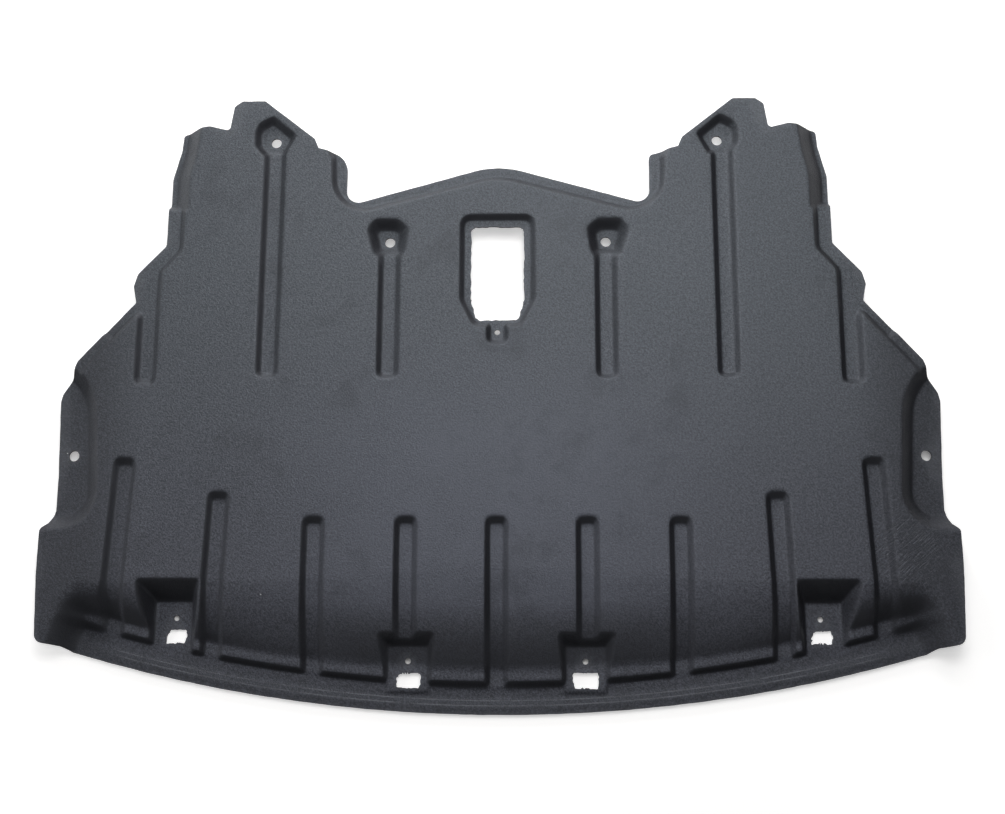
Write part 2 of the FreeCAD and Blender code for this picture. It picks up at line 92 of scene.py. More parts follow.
# Cut edges are upright faces nearly as high as the sheet is thick. Corners are matched to so many decimals
WALL_TILT = 0.02
WALL_HEIGHT = 0.0025
RIM_KEY = 5

# Slow waves that the sheet keeps from forming: length, direction and phase
WAVE_HEIGHT = 0.0004
WAVES = ((0.21, 0.6, 0.0), (0.34, 2.1, 1.3), (0.13, 1.4, 4.0), (0.09, 2.7, 2.2))

# Uneven trimming of the outline and of the access opening: depth, length of the bites, spacing and seed
OUTLINE_TRIM = (0.0003, 0.009, EDGE_SPACING, 1)
OPENING_TRIM = (0.0013, 0.0040, 0.0020, 2)
FEWEST_BITES = 4

# Windows of the front clips: place across, the shares of the half diagonal at which remnants cut the
# corners off (rear right, rear left, front left, front right), depth of the teeth, most ragged direction
WINDOWS = (
    (0.3305, (0.88, 0.68, 0.90, 0.90), 0.0036, -1.65),
    (-0.3305, (0.88, 0.62, 0.97, 0.84), 0.0020, -0.7),
    (0.0905, (0.93, 0.92, 0.90, 0.90), 0.0022, -2.2),
    (-0.0905, (0.88, 0.74, 0.86, 0.87), 0.0034, 2.6),
)
WINDOW_REACH = 0.030
CUT_BEND = 0.4
CUT_FACING = 0.05
CALM = 0.45
TOOTH_LENGTH = 0.0020
TOOTH_SPACING = 0.0006
LEAST_SLOPE = 1e-6


# Heights of both faces of the sheet

origin = low[:2] - BORDER
columns = int(math.ceil((high[0] - low[0] + 2.0 * BORDER) / CELL)) + 1
rows = int(math.ceil((high[1] - low[1] + 2.0 * BORDER) / CELL)) + 1


def measured_faces():
    """Height of the road side and of the mould side over the grid, and where there is sheet."""
    tree = BVHTree.FromObject(node, bpy.context.evaluated_depsgraph_get())
    road = np.zeros((rows, columns))
    mould = np.zeros((rows, columns))
    solid = np.zeros((rows, columns), bool)
    above = high[2] + BORDER
    down = Vector((0.0, 0.0, -1.0))
    up = Vector((0.0, 0.0, 1.0))
    for j in range(rows):
        y = origin[1] + j * CELL
        for i in range(columns):
            x = origin[0] + i * CELL
            over = tree.ray_cast(Vector((x, y, above)), down)[0]
            under = tree.ray_cast(Vector((x, y, -BORDER)), up)[0]
            if over is not None and under is not None:
                road[j, i] = over.z
                mould[j, i] = under.z
                solid[j, i] = True
    return road, mould, solid


def blurred(values, sigma):
    """Values blurred along both axes by a bell of that width, in grid cells."""
    reach = int(math.ceil(BELL_REACH * sigma))
    bell = np.exp(-0.5 * (np.arange(-reach, reach + 1) / sigma) ** 2)
    bell /= bell.sum()
    for axis in (0, 1):
        padding = [(reach, reach) if axis == k else (0, 0) for k in (0, 1)]
        padded = np.pad(values, padding, mode="edge")
        out = np.zeros_like(values)
        for k, weight in enumerate(bell):
            window = [slice(None), slice(None)]
            window[axis] = slice(k, k + values.shape[axis])
            out += weight * padded[tuple(window)]
        values = out
    return values


def softened(heights, solid, softness):
    """Heights with rounded creases, blurred over the sheet alone and carried a little past it."""
    sigma = softness / CELL
    weight = blurred(solid.astype(float), sigma)
    soft = blurred(heights * solid, sigma) / np.maximum(weight, TINY)
    known = weight > KNOWN_SHARE
    wide_weight = blurred(known.astype(float), CARRY * sigma)
    wide = blurred(np.where(known, soft, 0.0), CARRY * sigma) / np.maximum(wide_weight, TINY)
    return np.where(known, soft, wide)


def smooth(share):
    """Share from nought to one, levelled out at both ends."""
    return share ** 2 * (3.0 - 2.0 * share)


def eased(values, start, end):
    """Smooth rise from nought at the start to one at the end."""
    return smooth(np.clip((values - start) / (end - start), 0.0, 1.0))


def rounder_zones():
    """How much rounder the creases are in each grid cell, from nought to one."""
    aside = np.abs(origin[0] + np.arange(columns) * CELL)
    ahead = origin[1] + np.arange(rows) * CELL
    corners = eased(ahead, *CORNER_ALONG)[:, None] * eased(aside, *CORNER_ACROSS)[None, :]
    away = np.hypot((ahead - POCKET_PLACE[1])[:, None], (aside - POCKET_PLACE[0])[None, :])
    return np.maximum(corners, POCKET_SHARE * eased(away, *POCKET_REACH))


def formed(heights, solid, softness, zone):
    """Heights with rounded creases, rounder still in the rounder zones."""
    usual = softened(heights, solid, softness)
    rounder = softened(heights, solid, CORNER_SOFTNESS)
    return usual * (1.0 - zone) + rounder * zone


def sampled(heights, points):
    """Heights at plan points, taken between the grid's values."""
    u = np.clip((points[:, 0] - origin[0]) / CELL, 0.0, columns - 1.001)
    v = np.clip((points[:, 1] - origin[1]) / CELL, 0.0, rows - 1.001)
    i = u.astype(int)
    j = v.astype(int)
    a = u - i
    b = v - j
    near = heights[j, i] * (1.0 - a) + heights[j, i + 1] * a
    far = heights[j + 1, i] * (1.0 - a) + heights[j + 1, i + 1] * a
    return near * (1.0 - b) + far * b


def waves(points):
    """Slow rise and fall of the formed sheet, from nought to one."""
    total = np.zeros(len(points))
    for length, direction, phase in WAVES:
        along = points[:, 0] * math.cos(direction) + points[:, 1] * math.sin(direction)
        total += np.sin(2.0 * math.pi * along / length + phase)
    return 0.5 + 0.5 * total / len(WAVES)


# Cut edges: outline, holes, windows and access opening

def rim_loops():
    """Closed plan loops of the cut edges: where walls as high as the sheet meet the road side."""
    mesh = node.data
    keys = [tuple(round(c, RIM_KEY) for c in vertex.co) for vertex in mesh.vertices]
    walls = set()
    skins = set()
    for face in mesh.polygons:
        corners = [keys[k] for k in face.vertices]
        pairs = [tuple(sorted((corners[k - 1], corners[k]))) for k in range(len(corners))]
        heights = [corner[2] for corner in corners]
        if abs(face.normal.z) < WALL_TILT and max(heights) - min(heights) > WALL_HEIGHT:
            walls.update(pairs)
        elif face.normal.z > WALL_TILT:
            skins.update(pairs)
    after = {}
    for a, b in sorted(walls & skins):
        after.setdefault(a, []).append(b)
        after.setdefault(b, []).append(a)
    loops = []
    chains = []
    left = set(after)
    while left:
        ends = sorted(spot for spot in left if len(after[spot]) == 1)
        spot = ends[0] if ends else min(left)
        run = []
        while spot is not None:
            run.append(spot)
            left.discard(spot)
            onward = [other for other in after[spot] if other in left]
            spot = onward[0] if onward else None
        target = loops if run[0] in after[run[-1]] and len(run) > 2 else chains
        target.append(np.array(run)[:, :2])
    if chains:
        loops.append(joined(chains))
    return loops


def joined(chains):
    """One closed loop from open chains, each followed by the one that starts or ends nearest."""
    chains = sorted(chains, key=len)
    loop = chains.pop()
    while chains:
        gaps = [min(math.dist(loop[-1], chain[k]) for k in (0, -1)) for chain in chains]
        chain = chains.pop(gaps.index(min(gaps)))
        if math.dist(loop[-1], chain[-1]) < math.dist(loop[-1], chain[0]):
            chain = chain[::-1]
        loop = np.concatenate([loop, chain])
    return loop


def is_round(loop):
    """Whether a cut edge is a round hole."""
    width, length = loop.max(0) - loop.min(0)
    return abs(width - length) < CELL


def is_anticlockwise(loop):
    """Whether a closed loop runs anticlockwise, by the sign of the area that it goes round."""
    onward = np.roll(loop, -1, axis=0)
    return np.sum(loop[:, 0] * onward[:, 1] - onward[:, 0] * loop[:, 1]) > 0.0


def evenly(loop, spacing):
    """The same closed loop with points no further apart than the spacing."""
    points = []
    for a, b in zip(loop, np.roll(loop, -1, axis=0)):
        gap = np.linalg.norm(b - a)
        if gap < SHORTEST_GAP * spacing:
            continue
        for k in range(int(math.ceil(gap / spacing))):
            points.append(a + (b - a) * k / math.ceil(gap / spacing))
    return np.array(points)


def roughness_along(count, spacing, length, seed):
    """Smooth random values from nought to one round a closed loop."""
    random = np.random.default_rng(seed)
    spots = max(int(count * spacing / length), FEWEST_BITES)
    values = random.random(spots)
    at = np.arange(count) * spots / count
    k = at.astype(int)
    share = smooth(at - k)
    return values[k % spots] * (1.0 - share) + values[(k + 1) % spots] * share


def trimmed(loop, depth, length, spacing, seed):
    """The loop drawn in unevenly, by up to a depth: an outline cut back, or an opening left narrower."""
    points = evenly(loop, spacing)
    ahead = np.roll(points, -1, axis=0) - np.roll(points, 1, axis=0)
    ahead /= np.maximum(np.linalg.norm(ahead, axis=1), TINY)[:, None]
    square = np.stack([-ahead[:, 1], ahead[:, 0]], axis=1)
    side = 1.0 if is_anticlockwise(points) else -1.0
    rough = roughness_along(len(points), spacing, length, seed)
    return points + side * square * (depth * rough)[:, None]


def torn_window(loop, cuts, depth, ragged, seed):
    """A window's loop with its corners filled by remnants and fine teeth along its edges."""
    corner = (loop.max(0) - loop.min(0)) / 2.0
    middle = (loop.max(0) + loop.min(0)) / 2.0
    diagonal = math.hypot(*corner)
    lean = math.atan2(corner[1], corner[0])
    directions = (lean, math.pi - lean, math.pi + lean, -lean)
    count = int(4.0 * (corner[0] + corner[1]) / TOOTH_SPACING)
    angles = np.arange(count) * 2.0 * math.pi / count
    reach = np.minimum(
        corner[0] / np.maximum(np.abs(np.cos(angles)), LEAST_SLOPE),
        corner[1] / np.maximum(np.abs(np.sin(angles)), LEAST_SLOPE),
    )
    for cut, direction in zip(cuts, directions):
        facing = np.maximum(np.cos(angles - direction), CUT_FACING)
        reach = np.minimum(reach, cut * diagonal / facing ** CUT_BEND)
    share = CALM + (1.0 - CALM) * np.maximum(np.cos(angles - ragged), 0.0)
    reach -= depth * share * roughness_along(count, TOOTH_SPACING, TOOTH_LENGTH, seed)
    return middle + np.stack([reach * np.cos(angles), reach * np.sin(angles)], axis=1)


def finished_loops(loops):
    """The cut edges, largest first, as they are trimmed on the real sheet."""
    done = [trimmed(loops[0], *OUTLINE_TRIM), trimmed(loops[1], *OPENING_TRIM)]
    for number, loop in enumerate(loops[2:]):
        if is_round(loop):
            done.append(evenly(loop, EDGE_SPACING))
            continue
        middle = (loop.max(0) + loop.min(0)) / 2.0
        for place, cuts, depth, ragged in WINDOWS:
            if abs(middle[0] - place) < WINDOW_REACH:
                done.append(torn_window(loop, cuts, depth, ragged, number))
    return done


# Plan mesh of one face of the sheet

def lowest_within(values, cells):
    """Lowest value within a square of that many cells round each cell."""
    reach = cells // 2 + 1
    for axis in (0, 1):
        best = values.copy()
        for shift in range(-reach, reach + 1):
            best = np.minimum(best, np.roll(values, shift, axis=axis))
        values = best
    return values


def wanted_spacing(heights, error):
    """Spacing at which flat triangles stay within an error of the face, from how much it bends."""
    across = np.gradient(heights, CELL, axis=1)
    along = np.gradient(heights, CELL, axis=0)
    bend = np.sqrt(
        np.gradient(across, CELL, axis=1) ** 2
        + np.gradient(along, CELL, axis=0) ** 2
        + 2.0 * np.gradient(across, CELL, axis=0) ** 2
    )
    return np.sqrt(8.0 * error / np.maximum(bend, LEAST_BEND))


def graded_points(heights, error, finest):
    """Plan points and their spacing, closer where the face bends more."""
    wanted = wanted_spacing(heights, error)
    size = COARSE
    count = np.ceil(np.array([columns, rows]) * CELL / size).astype(int)
    x, y = np.meshgrid(*(origin[k] + (np.arange(count[k]) + 0.5) * size for k in (0, 1)))
    cells = np.stack([x.ravel(), y.ravel()], axis=1)
    points = []
    spacing = []
    while len(cells):
        need = lowest_within(wanted, int(round(size / CELL)))
        fine = sampled(need, cells) < size
        if size / 2.0 < finest:
            fine[:] = False
        points.append(cells[~fine])
        spacing.append(np.full(np.sum(~fine), size))
        parents = cells[fine]
        size /= 2.0
        cells = np.concatenate([
            parents + np.array([dx, dy]) * size / 2.0 for dx in (-1.0, 1.0) for dy in (-1.0, 1.0)
        ]) if len(parents) else parents
    return np.concatenate(points), np.concatenate(spacing)


def inside(points, loops):
    """Which plan points lie on the sheet, by how often a ray to the right crosses the cut edges."""
    result = np.zeros(len(points), bool)
    for loop in loops:
        a = loop
        b = np.roll(loop, -1, axis=0)
        for k, (x, y) in enumerate(points):
            across = (a[:, 1] > y) != (b[:, 1] > y)
            start, end = a[across], b[across]
            hits = start[:, 0] + (y - start[:, 1]) * (end[:, 0] - start[:, 0]) / (end[:, 1] - start[:, 1])
            result[k] ^= bool(np.sum(hits > x) % 2)
    return result


def clear_of_edges(points, spacing, solid, loops):
    """The points on the sheet that don't crowd the cut edges."""
    tree = KDTree(sum(len(loop) for loop in loops) * EDGE_STEPS)
    number = 0
    for loop in loops:
        onward = np.roll(loop, -1, axis=0)
        for share in np.arange(EDGE_STEPS) / EDGE_STEPS:
            for spot in loop * (1.0 - share) + onward * share:
                tree.insert((spot[0], spot[1], 0.0), number)
                number += 1
    tree.balance()
    on_sheet = sampled(blurred(solid.astype(float), 1.0), points) > 0.5
    kept = []
    for k in np.nonzero(on_sheet)[0]:
        near = min(spacing[k], EDGE_SPACING) * EDGE_CLEARANCE
        if tree.find((points[k, 0], points[k, 1], 0.0))[2] > near:
            kept.append(k)
    return points[kept]


def closed_pairs(loops):
    """Numbers of neighbouring points round each loop, when the loops' points are counted on."""
    runs = []
    start = 0
    for loop in loops:
        count = len(loop)
        runs.append([(start + k, start + (k + 1) % count) for k in range(count)])
        start += count
    return runs


def plan_mesh(heights, solid, loops, error, finest):
    """Plan points, the cut edges' points first, and the triangles between them."""
    points, spacing = graded_points(heights, error, finest)
    random = np.random.default_rng(JITTER_SEED)
    points = points + (random.random(points.shape) - 0.5) * 2.0 * JITTER * spacing[:, None]
    rim = np.concatenate(loops)
    everything = np.concatenate([rim, clear_of_edges(points, spacing, solid, loops)])
    edges = sum(closed_pairs(loops), [])
    found = delaunay_2d_cdt([Vector(p) for p in everything], edges, [], 0, MERGED, True)
    source = [ids[0] if ids else -1 for ids in found[3]]
    triangles = np.array([[source[k] for k in face] for face in found[2]])
    doubtful = np.all(triangles < len(rim), axis=1)
    centres = everything[triangles[doubtful]].mean(axis=1)
    keep = np.ones(len(triangles), bool)
    keep[np.nonzero(doubtful)[0]] = inside(centres, loops)
    return everything, triangles[keep]


def formed_sheet(edges):
    """The sheet as one closed mesh: road side, mould side and the cut edges between them."""
    road, mould, solid = measured_faces()
    zone = rounder_zones()
    road = formed(road, solid, ROAD_SOFTNESS, zone)
    mould = formed(mould, solid, MOULD_SOFTNESS, zone)
    loops = finished_loops(edges)
    upper, upper_faces = plan_mesh(road, solid, loops, ROAD_ERROR, COARSE / 2.0 ** (LEVELS - 1))
    lower, lower_faces = plan_mesh(mould, solid, loops, MOULD_ERROR, COARSE / 2.0 ** (LEVELS - 2))
    tops = sampled(road, upper) - WAVE_HEIGHT * waves(upper)
    feet = np.maximum(sampled(mould, lower) - WAVE_HEIGHT * waves(lower), low[2])
    vertices = np.concatenate([np.column_stack([upper, tops]), np.column_stack([lower, feet])])
    shift = len(upper)
    faces = upper_faces.tolist() + (lower_faces[:, ::-1] + shift).tolist()
    sharp = set()
    for number, (loop, pairs) in enumerate(zip(loops, closed_pairs(loops))):
        is_outline = number == 0
        outward = is_anticlockwise(loop) == is_outline
        for a, b in pairs:
            quad = (a, a + shift, b + shift, b)
            faces.append(quad if outward else quad[::-1])
            sharp |= {tuple(sorted((a, b))), tuple(sorted((a + shift, b + shift)))}
    mesh = bpy.data.meshes.new("splash_shield_sheet")
    mesh.from_pydata(vertices.tolist(), [], faces)
    mesh.validate()
    mesh.shade_smooth()
    for edge in mesh.edges:
        edge.use_edge_sharp = tuple(sorted(edge.vertices)) in sharp
    sheet = bpy.data.objects.new("formed_sheet", mesh)
    bpy.context.scene.collection.objects.link(sheet)
    return sheet


# Materials

class Shader:
    """Node tree of a material or of the world, with short calls for nodes and links."""

    def __init__(self, owner):
        self.owner = owner
        owner.use_nodes = True
        self.tree = owner.node_tree
        self.tree.nodes.clear()

    def fill(self, socket, value):
        """Link a socket, or set its value."""
        if isinstance(value, bpy.types.NodeSocket):
            self.tree.links.new(value, socket)
        else:
            socket.default_value = value

    def add(self, kind, inputs=(), **settings):
        """New node with its settings and inputs."""
        item = self.tree.nodes.new(kind)
        for key, value in settings.items():
            setattr(item, key, value)
        for key, value in dict(inputs).items():
            self.fill(item.inputs[key], value)
        return item

    def math(self, operation, a, b=0.0, c=0.0):
        """Result of an operation on up to three values."""
        return self.add("ShaderNodeMath", {0: a, 1: b, 2: c}, operation=operation).outputs[0]

    def times(self, a, b):
        """Product of two values."""
        return self.math("MULTIPLY", a, b)

    def larger(self, a, b):
        """The larger of two values."""
        return self.math("MAXIMUM", a, b)

    def ramp(self, value, start, end, low_value=0.0, high_value=1.0):
        """Smooth change from the low value at the start to the high value at the end."""
        inputs = {0: value, 1: start, 2: end, 3: low_value, 4: high_value}
        return self.add("ShaderNodeMapRange", inputs, interpolation_type="SMOOTHSTEP").outputs[0]

    def fade(self, value, start, end):
        """Smooth fall from one at the start to nought at the end."""
        return self.ramp(value, start, end, 1.0, 0.0)

    def distance(self, place, spot):
        """How far a place lies from a spot."""
        return self.add("ShaderNodeVectorMath", {0: place, 1: spot}, operation="DISTANCE").outputs["Value"]

    def noise(self, place, scale, detail, roughness):
        """Cloudy value from nought to one."""
        inputs = {"Vector": place, "Scale": scale, "Detail": detail, "Roughness": roughness}
        return self.add("ShaderNodeTexNoise", inputs).outputs["Fac"]

    def combed(self, place, across, along, angle):
        """Place stretched for streaks in a direction, with so many of them across and along a metre."""
        inputs = {
            "Vector": place,
            "Scale": (1.0 / across, 1.0 / along, 1.0),
            "Rotation": (0.0, 0.0, angle),
        }
        return self.add("ShaderNodeMapping", inputs, vector_type="TEXTURE").outputs[0]

    def blend(self, share, a, b):
        """Colour between two colours."""
        item = self.add("ShaderNodeMix", {0: share}, data_type="RGBA")
        self.fill(item.inputs[6], a)
        self.fill(item.inputs[7], b)
        return item.outputs[2]

    def finish(self, surface, kind="ShaderNodeOutputMaterial"):
        """The material or world with its surface in place."""
        self.add(kind, {"Surface": surface})
        return self.owner


# Colours of the plastic and its dust, with a painted sheen, a painted tint of light (violet in front,
# greener at the rear), painted shade and highlights
CLEAN_AND_SHADE = (0.014, 0.014, 0.017, 1.0)
FRONT_DARK = (0.014, 0.013, 0.017, 1.0)
FRONT_PALE = (0.024, 0.023, 0.029, 1.0)
REAR_DARK = (0.015, 0.018, 0.021, 1.0)
REAR_PALE = (0.027, 0.031, 0.036, 1.0)
PANEL_SHEEN = (0.078, 0.083, 0.106, 1.0)
FRONT_DUST = (0.094, 0.100, 0.124, 1.0)
REAR_DUST = (0.095, 0.105, 0.119, 1.0)
RUBBED_AND_HIGHLIGHT = (0.22, 0.23, 0.25, 1.0)
SPECK = (0.60, 0.60, 0.60, 1.0)

# Reflection of the plastic
SPECULAR = 0.65
SHEEN = (0.85, 0.90, 1.0, 1.0)

# Textures: scale, detail and roughness of the noise
CLOUD = (5.0, 4.0, 0.55)
PATCH = (26.0, 4.0, 0.6)
GRAIN = (520.0, 3.0, 0.7)
FINE_GRAIN = (1300.0, 2.0, 0.6)
DRAWN_GRAIN = (1.0, 3.0, 0.6)
DRAWN_COMB = (520.0, 190.0, 0.7)

# Mottle of the surface: how much the fine and the drawn grain add to the plain one
FINE_SHARE = 0.5
DRAWN_SHARE = 0.45

# Tone of the plastic: share of each of the two slow textures, their range, and where the rear begins
TONE_SHARE = 0.6
TONE_RANGE = (0.36, 0.84)
REAR_RANGE = (-0.24, 0.16)

# Painted sheen: the middle of the panel is paler where the light falls from the rear, fading to the sides
# and the front. Given here: how far to the sides it reaches, from where to where towards the front, and how
# the patches thin it out
PANEL_SHEEN_ACROSS = (0.06, 0.30)
PANEL_SHEEN_REAR = (0.10, -0.08)
PANEL_SHEEN_FRONT = (-0.212, -0.243)
PANEL_SHEEN_PATCH = (0.2, 0.8, 0.6, 1.0)

# Dusty tops of the grain
SPECKLE_RANGE = (0.76, 1.20)

# Painted shade towards both sides and on the front flange, away from the sheen, and duller plastic on faces
# turned to the front
OUTER_SHADE_ACROSS = (0.36, 0.43)
OUTER_SHADE_FRONT = (0.004, 0.032)
DULL_TURNED = (0.10, 0.45)
OUTER_SHADE_MOTTLE = (0.80, 1.15, 0.88, 0.40)

# Smudges without dust
SMUDGE = (17.0, 5.0, 0.65)
SMUDGE_RANGE = (0.54, 0.70)

# Fibres pressed into the sheet: how many there are across and along a metre, and their direction
FIBRES = ((1500.0, 150.0, 0.3), (1400.0, 190.0, 1.1), (1600.0, 170.0, 1.9), (1450.0, 210.0, 2.7))
FIBRE_NOISE = (1.0, 1.0, 0.5)
FIBRE_RANGE = (0.70, 0.80)
WORN = (9.0, 2.0, 0.5)
WORN_RANGE = (0.40, 0.66)

# Fine scratches side by side where the right wing was dragged: middle, reach and comb
SCRATCHED = (0.412, -0.160, 0.026)
SCRATCH_REACH = (0.018, 0.058)
SCRATCH_COMB = (620.0, 60.0, -0.85)
SCRATCH_NOISE = (1.0, 2.0, 0.5)
SCRATCH_RANGE = (0.50, 0.66)

# Painted shade on slopes: least on those turned to the left rear, towards the lamps, and most on those
# turned to the right front, away from them
LEVEL_RANGE = (0.86, 0.985)
TURNED_SHADE_ACROSS = 0.8
TURNED_SHADE_ALONG = -0.6
TURNED_SHADE_RANGE = (-0.35, 0.15, 0.40, 1.0)

# Painted shade in a band at the foot of the slope, which the lamps at the rear barely reach, by the distance
# from the front edge and from the middle
SHADED_FOOT_RISE = (0.042, 0.052)
SHADED_FOOT_FALL = (0.058, 0.112)
SHADED_FOOT_ACROSS = (0.12, 0.24)

# Painted highlights: pale lines along the creases of the front flange, by their distance from the front
# edge, which is an arc round this centre
FRONT_CENTRE = (0.0, 1.26175, 0.0)
FRONT_RADIUS = 1.590
CREASES = (0.0142, 0.0092)
CREASE_HALF = 0.0009
CREASE_ENDS = (0.37, 0.40)
CREASE_PATCH = (0.30, 0.62)

# Painted shade in hollow creases, and painted highlights on raised ones
HOLLOW_SHADE_RANGE = (0.42, 0.485, 0.65, 0.0)
RAISED_HIGHLIGHT_RANGE = (0.52, 0.60)

# Pale specks: how close their cells are, how large they are, and which cells have one
SPECK_SCALE = 42.0
SPECK_SIZE = (0.018, 0.034)
SPECK_PICK = 0.95

# Coats on the plastic, one over the other, among them painted sheen, shade and highlights: how much of each,
# and its colour, or its colours in front and at the rear
COATS = (
    ("panel_sheen", 0.72, PANEL_SHEEN),
    ("speckle", 0.82, FRONT_DUST, REAR_DUST),
    ("outer_shade", 1.0, CLEAN_AND_SHADE),
    ("smudge", 0.32, CLEAN_AND_SHADE),
    ("fibres", 0.30, RUBBED_AND_HIGHLIGHT),
    ("scratches", 0.10, RUBBED_AND_HIGHLIGHT),
    ("turned_away_shade", 1.0, CLEAN_AND_SHADE),
    ("shaded_foot", 0.75, CLEAN_AND_SHADE),
    ("crease_highlight_behind", 0.35, RUBBED_AND_HIGHLIGHT),
    ("crease_highlight_ahead", 0.35, RUBBED_AND_HIGHLIGHT),
    ("hollow_shade", 1.0, CLEAN_AND_SHADE),
    ("raised_highlight", 0.14, RUBBED_AND_HIGHLIGHT),
    ("specks", 0.8, SPECK),
)

# Roughness: by patches and grain, and more on faces turned to the front, at the slope's foot and under the
# painted shade of the sides and front flange
ROUGH_PATCH = 0.6
ROUGH_GRAIN = 0.5
ROUGH_RANGE = (0.3, 0.8, 0.40, 0.52)
ROUGH_TURNED = 0.30
ROUGH_DULL = 0.12

# Relief of the grain, into which the scratches are cut
RELIEF = 0.0005
RELIEF_FINE = 0.35
RELIEF_SCRATCH = -0.5


class Plastic(Shader):
    """Black formed plastic with dusty grain, fibres, scratches, specks, and painted sheen, shade and
    highlights.
    """

    def __init__(self):
        super().__init__(bpy.data.materials.new("black_plastic"))
        coordinates = self.add("ShaderNodeTexCoord")
        self.place = coordinates.outputs["Object"]
        spot = self.add("ShaderNodeSeparateXYZ", {0: self.place}).outputs
        self.along = spot[1]
        self.aside = self.math("ABSOLUTE", spot[0])
        self.facing = self.add("ShaderNodeSeparateXYZ", {0: coordinates.outputs["Normal"]}).outputs
        self.from_edge = self.math("SUBTRACT", FRONT_RADIUS, self.distance(self.place, FRONT_CENTRE))
        self.rear = self.ramp(self.along, *REAR_RANGE)
        self.patch = self.noise(self.place, *PATCH)
        self.grain = self.noise(self.place, *GRAIN)
        self.fine = self.noise(self.place, *FINE_GRAIN)
        drawn = self.noise(self.combed(self.place, *DRAWN_COMB), *DRAWN_GRAIN)
        plain_and_drawn = self.math("MULTIPLY_ADD", drawn, DRAWN_SHARE, self.grain)
        self.mottle = self.math("MULTIPLY_ADD", self.fine, FINE_SHARE, plain_and_drawn)

    def bare(self):
        """Colour of the plastic, with a painted tint of reflected light: paler and greener at the rear, more
        violet in front.
        """
        cloud = self.times(self.noise(self.place, *CLOUD), TONE_SHARE)
        tone = self.ramp(self.math("MULTIPLY_ADD", self.patch, TONE_SHARE, cloud), *TONE_RANGE)
        front = self.blend(tone, FRONT_DARK, FRONT_PALE)
        rear = self.blend(tone, REAR_DARK, REAR_PALE)
        return self.blend(self.rear, front, rear)

    def panel_sheen(self):
        """Painted sheen on the middle of the panel, paler where the light falls from the rear."""
        mask = self.times(self.fade(self.aside, *PANEL_SHEEN_ACROSS), self.ramp(self.patch, *PANEL_SHEEN_PATCH))
        mask = self.times(mask, self.ramp(self.along, *PANEL_SHEEN_REAR))
        return self.times(mask, self.fade(self.along, *PANEL_SHEEN_FRONT))

    def outer_shade(self):
        """Painted shade on the sides and the front flange, away from the sheen."""
        return self.larger(self.ramp(self.aside, *OUTER_SHADE_ACROSS), self.fade(self.from_edge, *OUTER_SHADE_FRONT))

    def fibres(self):
        """Fibres in all directions, where the sheet is worn."""
        mask = None
        for comb in FIBRES:
            line = self.ramp(self.noise(self.combed(self.place, *comb), *FIBRE_NOISE), *FIBRE_RANGE)
            mask = line if mask is None else self.larger(mask, line)
        return self.times(mask, self.ramp(self.noise(self.place, *WORN), *WORN_RANGE))

    def scratches(self):
        """Scratches on the right wing."""
        comb = self.noise(self.combed(self.place, *SCRATCH_COMB), *SCRATCH_NOISE)
        near = self.fade(self.distance(self.place, SCRATCHED), *SCRATCH_REACH)
        return self.times(near, self.ramp(comb, *SCRATCH_RANGE))

    def turned_away_shade(self):
        """Painted shade on slopes turned away from the lamps, by the direction that they are turned to."""
        lean = self.times(self.facing[1], TURNED_SHADE_ALONG)
        lean = self.math("MULTIPLY_ADD", self.facing[0], TURNED_SHADE_ACROSS, lean)
        return self.times(self.fade(self.facing[2], *LEVEL_RANGE), self.ramp(lean, *TURNED_SHADE_RANGE))

    def shaded_foot(self):
        """Painted shade at the slope's foot in the middle of the front."""
        mask = self.times(self.ramp(self.from_edge, *SHADED_FOOT_RISE), self.fade(self.from_edge, *SHADED_FOOT_FALL))
        return self.times(mask, self.fade(self.aside, *SHADED_FOOT_ACROSS))

    def crease_highlight(self, from_front):
        """Painted highlight along a crease of the front flange, broken up by the patches."""
        off = self.math("ABSOLUTE", self.math("SUBTRACT", self.from_edge, from_front))
        broken = self.times(self.ramp(self.patch, *CREASE_PATCH), self.fade(self.aside, *CREASE_ENDS))
        return self.times(self.fade(off, 0.0, CREASE_HALF), broken)

    def specks(self):
        """A few pale specks."""
        cells = {"Vector": self.place, "Scale": SPECK_SCALE, "Randomness": 1.0}
        dots = self.add("ShaderNodeTexVoronoi", cells).outputs
        near = self.fade(dots["Distance"], *SPECK_SIZE)
        pick = self.add("ShaderNodeSeparateColor", {0: dots["Color"]}).outputs[0]
        return self.times(near, self.math("GREATER_THAN", pick, SPECK_PICK))

    def roughness(self, outer_shade, shaded_foot):
        """Roughness of the surface."""
        rough = self.math("MULTIPLY_ADD", self.patch, ROUGH_PATCH, self.times(self.grain, ROUGH_GRAIN))
        rough = self.ramp(rough, *ROUGH_RANGE)
        forward = self.ramp(self.times(self.facing[1], -1.0), *DULL_TURNED, 0.0, ROUGH_TURNED)
        rough = self.math("ADD", rough, self.larger(forward, self.times(shaded_foot, ROUGH_TURNED)))
        return self.math("MULTIPLY_ADD", outer_shade, ROUGH_DULL, rough)

    def relief(self, scratches):
        """Normal of the grained surface."""
        height = self.math("MULTIPLY_ADD", scratches, RELIEF_SCRATCH, self.mottle)
        height = self.math("MULTIPLY_ADD", self.fine, RELIEF_FINE, height)
        return self.add("ShaderNodeBump", {"Height": height, "Strength": 1.0, "Distance": RELIEF}).outputs[0]

    def material(self):
        """The finished material."""
        outer_shade = self.outer_shade()
        scratches = self.scratches()
        shaded_foot = self.shaded_foot()
        edge = self.add("ShaderNodeNewGeometry").outputs["Pointiness"]
